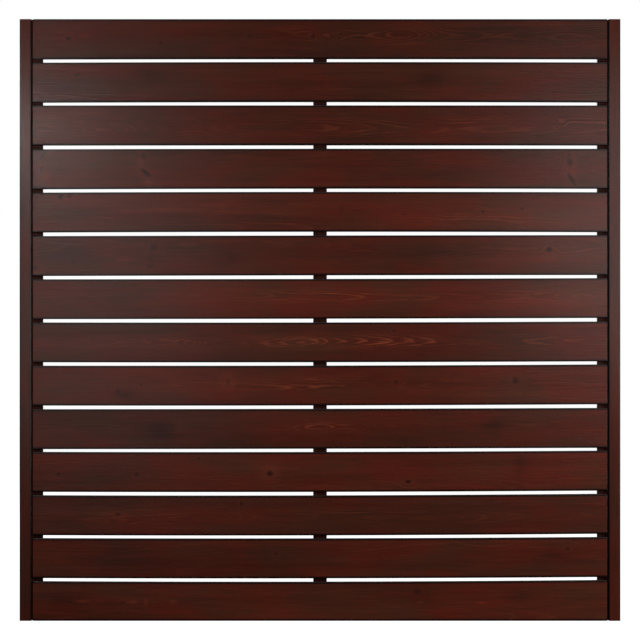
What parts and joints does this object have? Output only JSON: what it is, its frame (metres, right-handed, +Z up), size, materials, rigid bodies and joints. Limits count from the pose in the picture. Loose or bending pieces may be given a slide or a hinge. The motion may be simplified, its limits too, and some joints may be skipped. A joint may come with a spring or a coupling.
{
  "type": "garden privacy screen",
  "caption": "Square garden privacy screen of level stained softwood boards with narrow open slots between them, screwed from behind to two side uprights and a centre batten.",
  "frame": {"origin": "middle of the screen's foot, half way along its width and half way through its depth", "axes": "+X from the left upright to the right upright, +Y from the show face to the back, +Z up"},
  "size_m": [1.8, 0.045, 1.803],
  "materials": {
    "board_stain": "planed softwood under a dark red-brown translucent wood stain, satin, knots and grain showing",
    "frame_stain": "planed softwood under the same dark red-brown stain, satin",
    "zinc_screws": "bright zinc-plated steel, slightly dulled"
  },
  "bodies": {
    "root": {"board_01": "board_stain", "board_02": "board_stain", "board_03": "board_stain", "board_04": "board_stain", "board_05": "board_stain", "board_06": "board_stain", "board_07": "board_stain", "board_08": "board_stain", "board_09": "board_stain", "board_10": "board_stain", "board_11": "board_stain", "board_12": "board_stain", "board_13": "board_stain", "board_14": "board_stain", "left_edge_strip": "board_stain", "right_edge_strip": "board_stain", "left_upright": "frame_stain", "right_upright": "frame_stain", "centre_batten": "frame_stain", "centre_batten_screws": "zinc_screws", "left_board_screws": "zinc_screws", "left_strip_screws": "zinc_screws", "right_board_screws": "zinc_screws", "right_strip_screws": "zinc_screws"}
  },
  "joints": []
}
